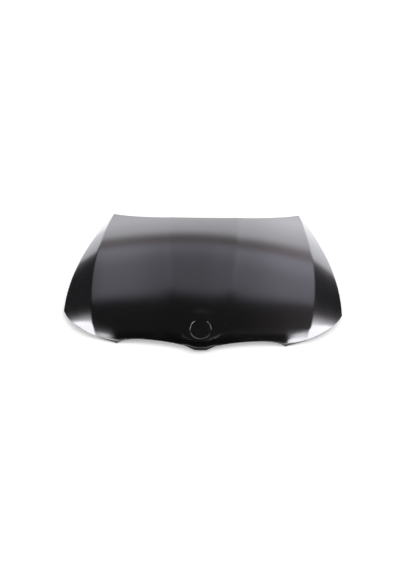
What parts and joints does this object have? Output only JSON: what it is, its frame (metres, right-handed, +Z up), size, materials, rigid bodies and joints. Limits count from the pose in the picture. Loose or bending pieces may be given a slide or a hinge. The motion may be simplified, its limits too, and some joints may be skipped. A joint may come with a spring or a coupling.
{
  "type": "car bonnet",
  "caption": "Pressed steel car bonnet: creased outer skin hemmed over a ribbed inner frame, with hinge and striker plates, weld nuts, mastic pads and a round emblem seat",
  "frame": {"origin": "middle of the underside of the bounding box", "axes": "+X is the right side seen from the front, +Y points to the rear edge, +Z is up"},
  "size_m": [1.5032, 1.1038, 0.1263],
  "materials": {
    "coat": "glossy black primer coat",
    "primer": "satin black dip coat",
    "zinc": "zinc plated",
    "mastic": "matt cured mastic"
  },
  "bodies": {
    "root": {"hinge_nut_left_1": "zinc", "hinge_nut_left_2": "zinc", "hinge_nut_right_1": "zinc", "hinge_nut_right_2": "zinc", "hinge_plate_left": "zinc", "hinge_plate_right": "zinc", "inner_frame": "primer", "mastic_pad_01": "mastic", "mastic_pad_02": "mastic", "mastic_pad_03": "mastic", "mastic_pad_04": "mastic", "mastic_pad_05": "mastic", "mastic_pad_06": "mastic", "mastic_pad_07": "mastic", "mastic_pad_08": "mastic", "mastic_pad_09": "mastic", "mastic_pad_10": "mastic", "mastic_pad_11": "mastic", "mastic_pad_12": "mastic", "mastic_pad_13": "mastic", "mastic_pad_14": "mastic", "mastic_pad_15": "mastic", "mastic_pad_16": "mastic", "mastic_pad_17": "mastic", "mastic_pad_18": "mastic", "mastic_pad_19": "mastic", "mastic_pad_20": "mastic", "mastic_pad_21": "mastic", "mastic_pad_22": "mastic", "mastic_pad_23": "mastic", "mastic_pad_24": "mastic", "outer_skin": "coat", "striker_nut_left_1": "zinc", "striker_nut_left_2": "zinc", "striker_nut_right_1": "zinc", "striker_nut_right_2": "zinc", "striker_plate_left": "zinc", "striker_plate_right": "zinc"}
  },
  "joints": []
}
